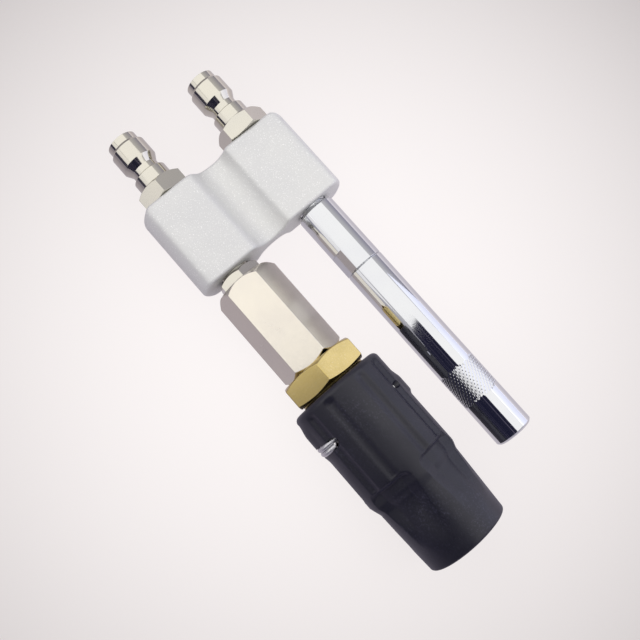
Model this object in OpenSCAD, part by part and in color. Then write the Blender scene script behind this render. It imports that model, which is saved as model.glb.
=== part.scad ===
// Twin pressure washer nozzle: a manifold block carries two quick-connect inlet
// plugs, an adjustable fan nozzle under a rubber grip and an adjustable jet tube.
// Frame: +X is the direction of the spray, +Y runs from the fan line to the jet
// line, +Z is up. The origin is the middle of the fan plug's sealing nose.

/* [Layout] */
// Distance between the axes of the fan line and the jet line
line_pitch = 31.75; // [27:0.25:42]
// Overall length of the manifold block along the flow
block_len = 30.8; // [28:0.1:42]
// Length of the hexagonal filter body
filter_len = 33.2; // [32:0.1:45]
// Length of the rubber grip cover
cover_len = 59.4; // [57.5:0.1:75]
// Length of the chromed jet barrel
barrel_len = 67.75; // [55:0.25:90]

/* [Inlet plugs] */
// Diameter of the sealing nose of each plug
nose_d = 11.88; // [9:0.01:14]
// Length of the sealing nose
nose_len = 5.8; // [4:0.1:8]
// Diameter of the flat land at the tip
tip_d = 10; // [8:0.1:11]
// Length of the land and its chamfer
tip_len = 3.3; // [2:0.1:5]
// Diameter of the locking groove behind the nose
groove_d = 9.1; // [7:0.1:10]
// Length of the locking groove with its cone
groove_len = 4.7; // [3.5:0.1:7]
// Diameter of the collar behind the groove
collar_d = 11.5; // [9.5:0.1:13]
// Length of the collar
collar_len = 5; // [3:0.1:8]
// Size across the flats of the plug's hexagon
plug_hex_af = 15.5; // [13:0.1:18]
// Length of the plug's hexagon
plug_hex_len = 5.6; // [4:0.1:9]
// Diameter of the water way through each plug
plug_bore_d = 5; // [3:0.1:6]

/* [Manifold block] */
// Diameter of the round lobe around each line
lobe_d = 23.6; // [22:0.1:27]
// Thickness of the block across the fan lobe's flats
fan_lobe_t = 16.8; // [15:0.1:22]
// Thickness of the block across the jet lobe's flats
jet_lobe_t = 13.8; // [13.4:0.1:22]
// Thickness of the waisted web between the lobes
web_t = 4.8; // [3:0.1:9]
// Radius of the hollow between a lobe and the web
web_fillet = 5.5; // [2:0.1:5.5]
// Radius of the rounded edges of the block
block_round = 1.5; // [0.5:0.1:2.2]
// Diameter of each threaded port, drawn plain
port_d = 10.3; // [9:0.1:11]
// Depth of each threaded port
port_depth = 10.5; // [8:0.1:12]
// Diameter of the water way through the block
block_bore_d = 7; // [5:0.1:8]

/* [Filter body] */
// Size across the flats of the outlet nipple's hexagon
nipple_af = 13.3; // [12.4:0.1:15]
// Length of the nipple's hexagon
nipple_hex_len = 3.25; // [2:0.05:6]
// Size across the flats of the filter body
filter_af = 19.05; // [18:0.05:24]
// Diameter of the filter chamber
chamber_d = 13.2; // [12.4:0.1:13.6]
// Outer diameter of the strainer's screen
strainer_d = 10.4; // [9:0.1:11]
// Length of the strainer
strainer_len = 13.6; // [9:0.1:14]
// Diameter of each hole in the strainer
strainer_hole_d = 1; // [0.6:0.1:1.2]

/* [Fan nozzle] */
// Size across the flats of the brass hexagon
brass_af = 24.2; // [22.6:0.1:27]
// Length of the brass hexagon
brass_hex_len = 7.8; // [5:0.1:12]
// Diameter of the brass rim behind the cover
rim_d = 22.6; // [18:0.1:24]
// Thickness of the brass rim
rim_len = 0.75; // [0.5:0.05:2]
// Diameter of the brass stem inside the sleeve
stem_d = 12; // [11:0.1:12.4]
// Outer diameter of the sliding jaw carrier
carrier_d = 18; // [17.4:0.1:18.4]
// Outer diameter of the turning core
core_d = 26; // [24.5:0.1:26.4]
// Outer diameter of the grip cover over its ridges
cover_d = 31.9; // [30.5:0.1:34]
// Diameter of the grip cover at the spray end
cover_end_d = 27.8; // [27.4:0.1:30]
// Diameter of the mouth in the grip cover
mouth_d = 21; // [19:0.1:23]
// Travel of the sleeve between high and low pressure
pressure_travel = 8; // [4:0.5:8.5]
// Width of each fan jaw
jaw_w = 6.6; // [5:0.1:7]
// Diameter of the retaining clip's wire
clip_wire_d = 1.6; // [1:0.1:1.7]

/* [Jet nozzle] */
// Outer diameter of the jet tube and its barrel
tube_d = 12.7; // [12.2:0.1:16]
// Length of the fixed upper tube
adaptor_len = 23.3; // [18:0.1:32]
// Size across the wrench flats
wrench_af = 11; // [10.6:0.1:12]
// Length of the wrench flats
wrench_len = 7.4; // [5:0.1:12]
// Direction of the wrench flats about the jet axis, from +Z towards -Y
wrench_turn = 65; // [0:1:180]
// Diameter of the threaded spigot inside the barrel, drawn plain
spigot_d = 9.2; // [8.6:0.1:9.4]
// Travel of the barrel along its thread
barrel_travel = 3; // [1:0.25:4]
// Diameter of the jet needle
needle_d = 3; // [2:0.1:3.4]
// Diameter of the hole in the jet orifice
jet_hole_d = 2.4; // [1.2:0.1:2.8]

/* [Fits] */
// Radial clearance between pieces that slide or turn on each other
running = 0.05; // [0.03:0.01:0.1]
// Gap between faces that pass each other
gap = 0.3; // [0.2:0.05:0.6]
// Sideways clearance of a jaw between its ears
jaw_play = 0.3; // [0.2:0.05:0.5]

/* [Hidden] */
$fn = 96;

eps = 0.01;

// Stations along X, from the plug tips to the outlets
x_tip = -(tip_len + nose_len / 2);
x_groove = x_tip + tip_len + nose_len;
x_collar = x_groove + groove_len;
x_plug_hex = x_collar + collar_len;
x_block = x_plug_hex + plug_hex_len;
x_block_end = x_block + block_len;
relief_len = 1;
x_nipple_hex = x_block_end + relief_len;
x_filter = x_nipple_hex + nipple_hex_len;
x_brass_hex = x_filter + filter_len;
x_rim = x_brass_hex + brass_hex_len;
x_stem = x_rim + rim_len;

// Threaded shanks, drawn plain and a hair under their ports
thread_play = 0.03;
shank_r = port_d / 2 - thread_play;
shank_len = port_depth - 1;
relief_r = shank_r - 0.6;

// Block
lobe_r = lobe_d / 2;
web_inset = 0.4;

// Filter chamber: the brass shank closes it and carries the strainer's rim
chamber_r = chamber_d / 2;
filter_port_len = 8.5;
x_chamber = x_filter + filter_port_len;
brass_shank_r = chamber_r - thread_play;
brass_shank_len = 8.6;
x_brass_shank = x_brass_hex - brass_shank_len;
strainer_wall = 0.5;
strainer_rim_t = 0.8;
x_strainer = x_brass_shank - strainer_len;
filter_ring_wire = 0.9;

// Fan stem, with its orifice, two seals and the stop ring
stem_r = stem_d / 2;
stem_bore_r = 3;
x_cover = x_stem + gap / 2;
stem_len = 34.8;
x_stem_end = x_stem + stem_len;
orifice_len = 5;
orifice_r = 3.7;
orifice_hole_r = 0.9;
seal_wire = 0.9;
x_seals = [x_stem + 5.5, x_stem + 8.5];
stop_ring_t = 1;
stop_ring_r = stem_r + 0.9;
stop_ring_seat = 0.7;
x_stop_ring = x_stem_end - 6.2;

// Jaw carrier
carrier_r = carrier_d / 2;
carrier_bore_r = stem_r + running;
carrier_wide_r = stop_ring_r + gap;
x_carrier = x_stem + gap;
x_carrier_step = x_stop_ring - gap - pressure_travel;
x_hinge = x_stem_end + 2;
x_carrier_end = x_hinge + 2.6;
x_carrier_ring = x_carrier + 28;
hinge_z = carrier_r - 2.4;
pin_r = 0.75;
lug_r = 1.7;
pin_len = 2 * (sqrt(pow(carrier_r, 2) - pow(hinge_z + pin_r, 2)) - 0.2);
carrier_ring_wire = 0.9;

// Jaws
x_jaw_back = x_stem_end + 0.4;
x_jaw_end = x_hinge + 12;
jaw_r = carrier_r - 1.5;
jaw_gap = 0.5;
jaw_channel_r = 1.4;

// Turning core
core_r = core_d / 2;
core_bore_r = carrier_r + running;
x_core = x_carrier;
cam_half = carrier_r - 1;
x_cam = x_carrier_end + gap;
x_cam_end = x_jaw_end + 0.6;

// Grip cover
cover_r = cover_d / 2;
cover_end_r = cover_end_d / 2;
mouth_r = mouth_d / 2;
x_cover_end = x_cover + cover_len;
cover_lip = 4;
x_core_end = x_cover_end - cover_lip;
x_shoulder = x_cover + 30.2;
shoulder_len = 4.5;
shoulder_drop = 0.9;
lobes = 5;
flute_angle = 21.5;
flute_r = 1.7;
flute_depth = 0.6;
flute_start = 2.5;
scoop_step = 0.6;
scoop_r = 30;
scoop_len = 19;
scoop_depth = 1.4;

// Retaining clip: two legs ride in a groove of the jaw carrier
clip_r = clip_wire_d / 2;
clip_play = 0.1;
clip_slot_len = 2 * clip_wire_d;
x_clip_slot = x_cover + 10.85;
x_clip = x_clip_slot + clip_play + clip_r;
x_clip_fold = x_clip + clip_wire_d - 0.02;
clip_z = carrier_r - 0.65;
clip_slot_y = 10.2;
clip_crown_y = cover_r - clip_r + 0.5;
clip_bend = 3;
clip_leg_end = 12.2;
clip_exit = 5;
clip_fold_end = clip_slot_y + 1.6;
clip_groove_r = clip_z - clip_r - clip_play;
boss_rise = 0.75;
boss_len = 9;
boss_half_angle = 24;
boss_ramp = 1.5;
boss_back = 0.6;

// Jet line
tube_r = tube_d / 2;
x_adaptor = x_block_end + relief_len;
x_adaptor_end = x_adaptor + adaptor_len;
spigot_r = spigot_d / 2;
spigot_len = 19.5;
x_spigot_end = x_adaptor_end + spigot_len;
adaptor_bore_r = 2.6;
seam = 0.2;
x_barrel = x_adaptor_end + seam;
x_barrel_end = x_barrel + barrel_len;
barrel_bore_r = spigot_r + running;
jet_stop_t = 0.8;
jet_stop_r = spigot_r + 0.7;
jet_stop_seat = 0.6;
x_jet_stop = x_spigot_end - 1.8;
barrel_wide_r = jet_stop_r + 0.1;
x_barrel_step = x_jet_stop - gap - barrel_travel;
barrel_seal_wire = 0.9;
x_barrel_seal = x_barrel_step - 2;
jet_orifice_r = 4;
jet_orifice_len = 7;
jet_recess = 0.6;
x_jet_orifice = x_barrel_end - jet_recess - jet_orifice_len;
x_barrel_throat = x_jet_orifice - 3;
throat_r = 2.6;
needle_seat_r = 3.3;
needle_seat_len = 5;
needle_point = 4;
needle_end = x_jet_orifice - 0.5;
needle_arms = 3;

// Things drawn along their own Z are laid along X, starting at x on line y
module along(x, y = 0) {
    translate([x, y, 0]) rotate([0, 90, 0]) children();
}

// A turned piece from its half section: points are [radius, length]
module turned(points) {
    rotate_extrude() polygon(points);
}

// A bore from z = 0 up, a little past both ends when asked
module bore(r, len, under = 0, over = 0) {
    translate([0, 0, -under]) cylinder(r = r, h = len + under + over);
}

// A hexagon bar with turned chamfers; turn is from +Z towards -Y
module hex_bar(af, len, turn = 0, start_cut = 0.8, end_cut = 0.8) {
    corner_r = af / 2 / cos(30);
    flat_r = af / 2 * 0.99;
    rotate([0, 0, turn]) intersection() {
        cylinder(r = corner_r, h = len, $fn = 6);
        turned([
            [0, 0], [start_cut > 0 ? flat_r : corner_r, 0], [corner_r, start_cut],
            [corner_r, len - end_cut], [end_cut > 0 ? flat_r : corner_r, len], [0, len]
        ]);
    }
}

// A ring of round wire
module o_ring(inner_r, wire) {
    rotate_extrude() translate([inner_r + wire / 2, 0]) circle(r = wire / 2, $fn = 32);
}

// A square groove to be cut around a shaft
module shaft_groove(shaft_r, floor_r, len) {
    difference() {
        cylinder(r = shaft_r + 1, h = len);
        translate([0, 0, -eps]) cylinder(r = floor_r, h = len + 2 * eps);
    }
}

// ---- manifold block ----
module rounded_side(len, half, r) {
    translate([r, -half + r]) square([len - 2 * r, 2 * (half - r)]);
    translate([0, -half + r]) square([len, 2 * (half - r)]);
    translate([r, -half]) square([len - 2 * r, 2 * half]);
    for (x = [r, len - r], z = [-half + r, half - r]) translate([x, z]) circle(r = r);
}

module lobe(y, half) {
    r = block_round;
    translate([x_block, y, 0]) intersection() {
        rotate([0, 90, 0]) rotate_extrude() {
            translate([0, r]) square([lobe_r, block_len - 2 * r]);
            square([lobe_r - r, block_len]);
            for (z = [r, block_len - r]) translate([lobe_r - r, z]) circle(r = r);
        }
        rotate([90, 0, 0]) translate([0, 0, -lobe_r - 1])
            linear_extrude(lobe_d + 2) rounded_side(block_len, half, r);
    }
}

// The web's section, across Z and Y, between the two lobes
module web_section() {
    half = web_t / 2;
    reach = lobe_r + web_fillet;
    centre_y = sqrt(pow(reach, 2) - pow(half + web_fillet, 2));
    touch = lobe_r / reach;
    touch_y = touch * centre_y;
    touch_z = touch * (half + web_fillet);
    difference() {
        translate([-touch_z, touch_y]) square([2 * touch_z, line_pitch - 2 * touch_y]);
        for (side = [-1, 1]) {
            for (y = [centre_y, line_pitch - centre_y])
                translate([side * (half + web_fillet), y]) circle(r = web_fillet);
            translate([side * (half + web_fillet) - web_fillet, centre_y])
                square([2 * web_fillet, line_pitch - 2 * centre_y]);
        }
    }
    translate([-half, lobe_r / 2]) square([web_t, line_pitch - lobe_r]);
}

module line_bores(y) {
    along(x_block, y) {
        bore(port_d / 2, port_depth, under = 1);
        bore(block_bore_d / 2, block_len, over = 1);
        translate([0, 0, block_len - port_depth]) bore(port_d / 2, port_depth, over = 1);
    }
}

module manifold_block() {
    color([0.87, 0.87, 0.86]) difference() {
        union() {
            lobe(0, fan_lobe_t / 2);
            lobe(line_pitch, jet_lobe_t / 2);
            along(x_block + web_inset) linear_extrude(block_len - 2 * web_inset) web_section();
        }
        line_bores(0);
        line_bores(line_pitch);
    }
}

// ---- inlet plugs ----
module inlet_plug(y, turn) {
    nose_r = nose_d / 2;
    land_len = tip_len - (nose_r - tip_d / 2);
    along(x_tip, y) difference() {
        union() {
            turned([
                [0, 0], [tip_d / 2, 0], [tip_d / 2, land_len], [nose_r, tip_len],
                [nose_r, tip_len + nose_len], [groove_d / 2, tip_len + nose_len + groove_len / 2],
                [groove_d / 2, x_collar - x_tip], [collar_d / 2 - 0.3, x_collar - x_tip],
                [collar_d / 2, x_collar - x_tip + 0.3], [collar_d / 2, x_plug_hex - x_tip],
                [shank_r, x_plug_hex - x_tip], [shank_r, x_block + shank_len - x_tip - 0.8],
                [relief_r, x_block + shank_len - x_tip], [0, x_block + shank_len - x_tip]
            ]);
            translate([0, 0, x_plug_hex - x_tip])
                hex_bar(plug_hex_af, plug_hex_len, turn, start_cut = 1, end_cut = 0.4);
        }
        bore(plug_bore_d / 2, x_block + shank_len - x_tip, under = 1, over = 1);
    }
}

module fan_inlet_plug() {
    color([0.80, 0.79, 0.76]) inlet_plug(0, 4);
}

module jet_inlet_plug() {
    color([0.80, 0.79, 0.76]) inlet_plug(line_pitch, 43);
}

// ---- filter body ----
module outlet_nipple() {
    total = shank_len + relief_len + nipple_hex_len + filter_port_len - 0.5;
    hex_at = shank_len + relief_len;
    color([0.78, 0.77, 0.74]) along(x_block_end - shank_len) difference() {
        union() {
            turned([
                [0, 0], [relief_r, 0], [shank_r, 0.8], [shank_r, shank_len - 0.6],
                [relief_r, shank_len], [relief_r, hex_at], [shank_r, hex_at],
                [shank_r, total - 0.8], [relief_r, total], [0, total]
            ]);
            translate([0, 0, hex_at]) hex_bar(nipple_af, nipple_hex_len, -4, end_cut = 0.4);
        }
        bore(stem_bore_r, total, under = 1, over = 1);
    }
}

module filter_body() {
    color([0.82, 0.80, 0.74]) along(x_filter) difference() {
        hex_bar(filter_af, filter_len, -21, start_cut = 1.8, end_cut = 1.2);
        bore(port_d / 2, filter_port_len, under = 1, over = 1);
        translate([0, 0, filter_port_len]) bore(chamber_r, filter_len - filter_port_len, over = 1);
    }
}

module strainer() {
    outer_r = strainer_d / 2;
    rows = floor((strainer_len - 4) / (2 * strainer_hole_d));
    color([0.70, 0.70, 0.70]) along(x_strainer) difference() {
        turned([
            [0, 0], [outer_r - 1, 0], [outer_r, 1], [outer_r, strainer_len - strainer_rim_t],
            [brass_shank_r, strainer_len - strainer_rim_t], [brass_shank_r, strainer_len],
            [outer_r - strainer_wall, strainer_len], [outer_r - strainer_wall, 1.2],
            [0, 1.2]
        ]);
        for (row = [0 : rows - 1], k = [0 : 3])
            translate([0, 0, 2.4 + 2 * strainer_hole_d * row]) rotate([0, 90, 45 * k + 22.5 * (row % 2)])
                cylinder(d = strainer_hole_d, h = strainer_d + 2, center = true, $fn = 24);
    }
}

module filter_o_ring() {
    color([0.09, 0.09, 0.10]) along(x_brass_hex - 1.6) o_ring(chamber_r - filter_ring_wire, filter_ring_wire);
}

// ---- fan nozzle: fixed brass stem ----
module nozzle_stem() {
    hex_at = brass_shank_len;
    stem_at = x_stem - x_brass_shank;
    total = x_stem_end - x_brass_shank;
    color([0.80, 0.62, 0.30]) along(x_brass_shank) difference() {
        union() {
            turned([
                [0, 0], [brass_shank_r - 0.6, 0], [brass_shank_r, 0.6], [brass_shank_r, hex_at],
                [rim_d / 2, hex_at + brass_hex_len], [rim_d / 2, stem_at], [stem_r, stem_at],
                [stem_r, total - 0.5], [stem_r - 0.5, total], [0, total]
            ]);
            translate([0, 0, hex_at]) hex_bar(brass_af, brass_hex_len, 4, start_cut = 1.1, end_cut = 0.8);
        }
        bore(stem_bore_r, total, under = 1, over = 1);
        translate([0, 0, total - orifice_len]) bore(orifice_r, orifice_len, over = 1);
        translate([0, 0, hex_at - 1.6 - filter_ring_wire / 2])
            shaft_groove(brass_shank_r, chamber_r - filter_ring_wire, filter_ring_wire);
        for (x = x_seals) translate([0, 0, x - x_brass_shank - seal_wire / 2])
            shaft_groove(stem_r, stem_r - seal_wire, seal_wire);
        translate([0, 0, x_stop_ring - x_brass_shank])
            shaft_groove(stem_r, stem_r - stop_ring_seat, stop_ring_t);
    }
}

module stem_o_rings() {
    color([0.09, 0.09, 0.10]) for (x = x_seals) along(x) o_ring(stem_r - seal_wire, seal_wire);
}

module fan_orifice() {
    color([0.72, 0.72, 0.72]) along(x_stem_end - orifice_len) difference() {
        cylinder(r = orifice_r, h = orifice_len);
        bore(orifice_hole_r, orifice_len, under = 1, over = 1);
        translate([0, 0, -1]) cylinder(r1 = stem_bore_r, r2 = orifice_hole_r, h = 4);
    }
}

// A split ring that snaps into a groove
module stop_ring(x, y, seat_r, outer_r, len, split_w) {
    along(x, y) difference() {
        cylinder(r = outer_r, h = len);
        bore(seat_r, len, under = 1, over = 1);
        translate([0, -split_w / 2, -1]) cube([outer_r + 1, split_w, len + 2]);
    }
}

module stem_stop_ring() {
    color([0.55, 0.56, 0.58])
        stop_ring(x_stop_ring, 0, stem_r - stop_ring_seat, stop_ring_r, stop_ring_t, 3);
}

// ---- fan nozzle: sliding jaw carrier and jaws ----
module jaw_carrier() {
    slot_half = jaw_w / 2 + jaw_play;
    color([0.74, 0.56, 0.28]) difference() {
        along(x_carrier) difference() {
            turned([
                [0, 0], [carrier_r - 0.4, 0], [carrier_r, 0.4],
                [carrier_r, x_carrier_end - x_carrier], [0, x_carrier_end - x_carrier]
            ]);
            bore(carrier_bore_r, x_carrier_end - x_carrier, under = 1, over = 1);
            translate([0, 0, x_carrier_step - x_carrier])
                bore(carrier_wide_r, x_carrier_end - x_carrier_step, over = 1);
            translate([0, 0, x_clip - clip_r - clip_play - x_carrier])
                shaft_groove(carrier_r, clip_groove_r, clip_wire_d + 2 * clip_play);
            translate([0, 0, x_carrier_ring - x_carrier - carrier_ring_wire / 2])
                shaft_groove(carrier_r, carrier_r - carrier_ring_wire, carrier_ring_wire);
        }
        for (side = [-1, 1])
            translate([x_hinge - lug_r - gap, -slot_half, side > 0 ? 0 : -carrier_r - 1])
                cube([carrier_r, 2 * slot_half, carrier_r + 1]);
        for (side = [-1, 1]) translate([x_hinge, -carrier_r - 1, side * hinge_z]) rotate([-90, 0, 0])
            cylinder(r = pin_r, h = carrier_d + 2, $fn = 48);
    }
}

module carrier_o_ring() {
    color([0.09, 0.09, 0.10]) along(x_carrier_ring) o_ring(carrier_r - carrier_ring_wire, carrier_ring_wire);
}

module jaw_pins() {
    color([0.60, 0.60, 0.62]) for (side = [-1, 1])
        translate([x_hinge, -pin_len / 2, side * hinge_z]) rotate([-90, 0, 0])
            cylinder(r = pin_r, h = pin_len, $fn = 48);
}

// One jaw, drawn on the +Z side
module jaw() {
    difference() {
        union() {
            intersection() {
                along(x_jaw_back) cylinder(r = jaw_r, h = x_jaw_end - x_jaw_back);
                translate([x_jaw_back, -jaw_w / 2, jaw_gap / 2])
                    cube([x_jaw_end - x_jaw_back, jaw_w, jaw_r]);
            }
            translate([x_hinge, -jaw_w / 2, hinge_z]) rotate([-90, 0, 0])
                cylinder(r = lug_r, h = jaw_w, $fn = 48);
        }
        translate([x_hinge, -jaw_w / 2 - 1, hinge_z]) rotate([-90, 0, 0])
            cylinder(r = pin_r + running, h = jaw_w + 2, $fn = 48);
        along(x_jaw_back - 1) cylinder(r = jaw_channel_r, h = x_jaw_end - x_jaw_back + 2, $fn = 48);
    }
}

module upper_jaw() {
    color([0.68, 0.68, 0.70]) jaw();
}

module lower_jaw() {
    color([0.68, 0.68, 0.70]) mirror([0, 0, 1]) jaw();
}

// ---- fan nozzle: turning core, grip cover and its clip ----
module turning_core() {
    flare_r = mouth_r - 0.1;
    color([0.16, 0.16, 0.17]) difference() {
        along(x_core) cylinder(r = core_r, h = x_core_end - x_core);
        along(x_core - 1) cylinder(r = core_bore_r, h = x_cam - x_core + 1);
        intersection() {
            along(x_cam - eps) cylinder(r = core_bore_r, h = x_cam_end - x_cam + 2 * eps);
            translate([x_cam - 1, -carrier_r - 1, -cam_half]) cube([x_cam_end - x_cam + 2, carrier_d + 2, 2 * cam_half]);
        }
        along(x_cam_end) cylinder(r1 = core_bore_r, r2 = flare_r, h = x_core_end - x_cam_end);
        along(x_core_end - eps) cylinder(r = flare_r, h = 1);
        clip_channels(clip_play);
    }
}

// The ways that the clip takes through the sleeve, larger than its wire by play
module clip_channels(play) {
    r = clip_r + play;
    for (side = [-1, 1]) translate([x_clip, -cover_r - 3, side * clip_z]) rotate([-90, 0, 0])
        cylinder(r = r, h = cover_r + 3 + clip_leg_end + clip_exit, $fn = 32);
    translate([x_clip_slot, -cover_r - 3, -cover_r - 1])
        cube([clip_slot_len + 2 * play, cover_r + 3 - clip_slot_y, cover_d + 2]);
}

module cover_boss(turn) {
    half = (core_r - 1) * tan(boss_half_angle);
    along(x_clip - boss_len / 2 - boss_back) intersection() {
        turned([
            [core_r, 0], [cover_r, 0], [cover_r + boss_rise, boss_ramp],
            [cover_r + boss_rise, boss_len - boss_ramp], [cover_r, boss_len], [core_r, boss_len]
        ]);
        rotate([0, 0, turn]) translate([0, -half, 0]) cube([cover_r + 2, 2 * half, boss_len]);
    }
}

module grip_cover() {
    end_round = 1.2;
    shoulder_r = cover_r - shoulder_drop;
    color([0.13, 0.13, 0.14]) difference() {
        union() {
            along(x_cover) turned([
                [0, 0], [cover_r - 1.6, 0], [cover_r - 0.5, 0.5], [cover_r, 1.6],
                [cover_r, x_shoulder - x_cover], [shoulder_r, x_shoulder + shoulder_len - x_cover],
                [cover_end_r + 0.1, cover_len - end_round], [cover_end_r - 0.6, cover_len - 0.5],
                [cover_end_r - end_round, cover_len], [0, cover_len]
            ]);
            cover_boss(-90);
            cover_boss(90);
        }
        along(x_cover - 1) cylinder(r = core_r, h = x_core_end - x_cover + 1);
        along(x_core_end - 1) cylinder(r = mouth_r, h = cover_lip + 2);
        for (k = [0 : lobes - 1], side = [-1, 1]) rotate([360 / lobes * k + side * flute_angle, 0, 0])
            translate([x_cover + flute_start, 0, cover_r - flute_depth + flute_r]) rotate([0, 90, 0])
                cylinder(r = flute_r, h = x_shoulder - x_cover - flute_start - scoop_step, $fn = 32);
        for (k = [0 : lobes - 1]) rotate([360 / lobes * (k + 0.5), 0, 0])
            translate([x_shoulder + scoop_step, 0, cover_r - shoulder_drop - scoop_depth + scoop_r]) rotate([0, 90, 0])
                cylinder(r = scoop_r, h = scoop_len, $fn = 64);
        clip_channels(clip_play);
    }
}

// One U of the clip: a crown across Z and two legs along Y
module clip_u(x, leg_end) {
    run = clip_z - clip_bend;
    translate([x, -clip_crown_y, -run]) cylinder(r = clip_r, h = 2 * run, $fn = 32);
    for (side = [-1, 1]) {
        translate([x, -clip_crown_y + clip_bend, side * run]) rotate([0, 90, 0])
            rotate([0, 0, side > 0 ? 180 : 270])
                rotate_extrude(angle = 90) translate([clip_bend, 0]) circle(r = clip_r, $fn = 32);
        translate([x, -clip_crown_y + clip_bend, side * clip_z]) rotate([-90, 0, 0])
            cylinder(r = clip_r, h = clip_crown_y - clip_bend + leg_end, $fn = 32);
    }
}

module retaining_clip() {
    color([0.75, 0.75, 0.76]) {
        clip_u(x_clip, clip_leg_end);
        clip_u(x_clip_fold, -clip_fold_end);
    }
}

// ---- jet line ----
module jet_adaptor() {
    flat_at = shank_len + relief_len + adaptor_len - wrench_len - 0.2;
    adaptor_at = shank_len + relief_len;
    spigot_at = adaptor_at + adaptor_len;
    total = spigot_at + spigot_len;
    color([0.83, 0.84, 0.86]) along(x_block_end - shank_len, line_pitch) difference() {
        turned([
            [0, 0], [relief_r, 0], [shank_r, 0.8], [shank_r, shank_len - 0.6], [relief_r, shank_len],
            [relief_r, adaptor_at], [tube_r - 0.6, adaptor_at], [tube_r, adaptor_at + 0.6],
            [tube_r, spigot_at - 0.15], [tube_r - 0.15, spigot_at], [spigot_r, spigot_at],
            [spigot_r, total - 0.5], [spigot_r - 0.5, total], [0, total]
        ]);
        bore(adaptor_bore_r, total, under = 1, over = 1);
        translate([0, 0, total - needle_seat_len]) bore(needle_seat_r, needle_seat_len, over = 1);
        rotate([0, 0, wrench_turn]) for (side = [-1, 1])
            translate([side * (wrench_af / 2 + 2) - 2, -tube_d, flat_at]) cube([4, 2 * tube_d, wrench_len]);
        translate([0, 0, x_jet_stop - x_block_end + shank_len])
            shaft_groove(spigot_r, spigot_r - jet_stop_seat, jet_stop_t);
    }
}

module jet_stop_ring() {
    color([0.55, 0.56, 0.58])
        stop_ring(x_jet_stop, line_pitch, spigot_r - jet_stop_seat, jet_stop_r, jet_stop_t, 2);
}

module jet_needle() {
    root = x_spigot_end - needle_seat_len;
    len = needle_end - root;
    color([0.70, 0.70, 0.72]) along(root, line_pitch) {
        turned([
            [0, 0], [needle_d / 2, 0], [needle_d / 2, len - needle_point],
            [0.3, len - 0.2], [0, len]
        ]);
        difference() {
            cylinder(r = needle_seat_r, h = needle_seat_len - 1);
            bore(adaptor_bore_r, needle_seat_len, under = 1);
        }
        for (k = [0 : needle_arms - 1]) rotate([0, 0, 360 / needle_arms * k])
            translate([needle_d / 4, -0.5, 0]) cube([needle_seat_r - needle_d / 4 - 0.3, 1, needle_seat_len - 1]);
    }
}

module barrel_seal() {
    color([0.09, 0.09, 0.10]) along(x_barrel_seal, line_pitch) o_ring(barrel_bore_r, barrel_seal_wire);
}

module jet_barrel() {
    edge = 0.8;
    color([0.83, 0.84, 0.86]) along(x_barrel, line_pitch) difference() {
        turned([
            [0, 0], [tube_r - 0.15, 0], [tube_r, 0.15], [tube_r, barrel_len - edge],
            [tube_r - edge, barrel_len], [0, barrel_len]
        ]);
        bore(throat_r, barrel_len, under = 1, over = 1);
        bore(barrel_bore_r, x_barrel_step - x_barrel + eps, under = 1);
        translate([0, 0, x_barrel_step - x_barrel]) bore(barrel_wide_r, x_barrel_throat - x_barrel_step);
        translate([0, 0, x_jet_orifice - x_barrel]) bore(jet_orifice_r, jet_orifice_len + jet_recess, over = 1);
        translate([0, 0, x_barrel_seal - x_barrel - barrel_seal_wire / 2])
            cylinder(r = barrel_bore_r + barrel_seal_wire, h = barrel_seal_wire);
    }
}

module jet_orifice() {
    color([0.74, 0.74, 0.75]) along(x_jet_orifice, line_pitch) difference() {
        cylinder(r = jet_orifice_r, h = jet_orifice_len);
        bore(jet_hole_d / 2, jet_orifice_len, under = 1, over = 1);
        translate([0, 0, -eps]) cylinder(r1 = throat_r, r2 = jet_hole_d / 2, h = 2.5);
    }
}

manifold_block();
fan_inlet_plug();
jet_inlet_plug();
outlet_nipple();
filter_body();
strainer();
filter_o_ring();
nozzle_stem();
stem_o_rings();
fan_orifice();
stem_stop_ring();
jaw_carrier();
carrier_o_ring();
upper_jaw();
lower_jaw();
jaw_pins();
turning_core();
grip_cover();
retaining_clip();
jet_adaptor();
jet_needle();
jet_stop_ring();
barrel_seal();
jet_barrel();
jet_orifice();
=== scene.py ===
"""Looks of a twin pressure washer nozzle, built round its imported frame.

A manifold block carries two quick-connect inlet plugs, an adjustable fan
nozzle under a rubber grip, and a chromed jet tube with a knurled barrel.
Frame: +X is the direction of the spray, +Y runs from the fan line to the jet
line, +Z is up. Sizes in the classes are millimetres; meshes are in metres.
"""

import logging
from dataclasses import dataclass, field
from enum import Enum

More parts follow.
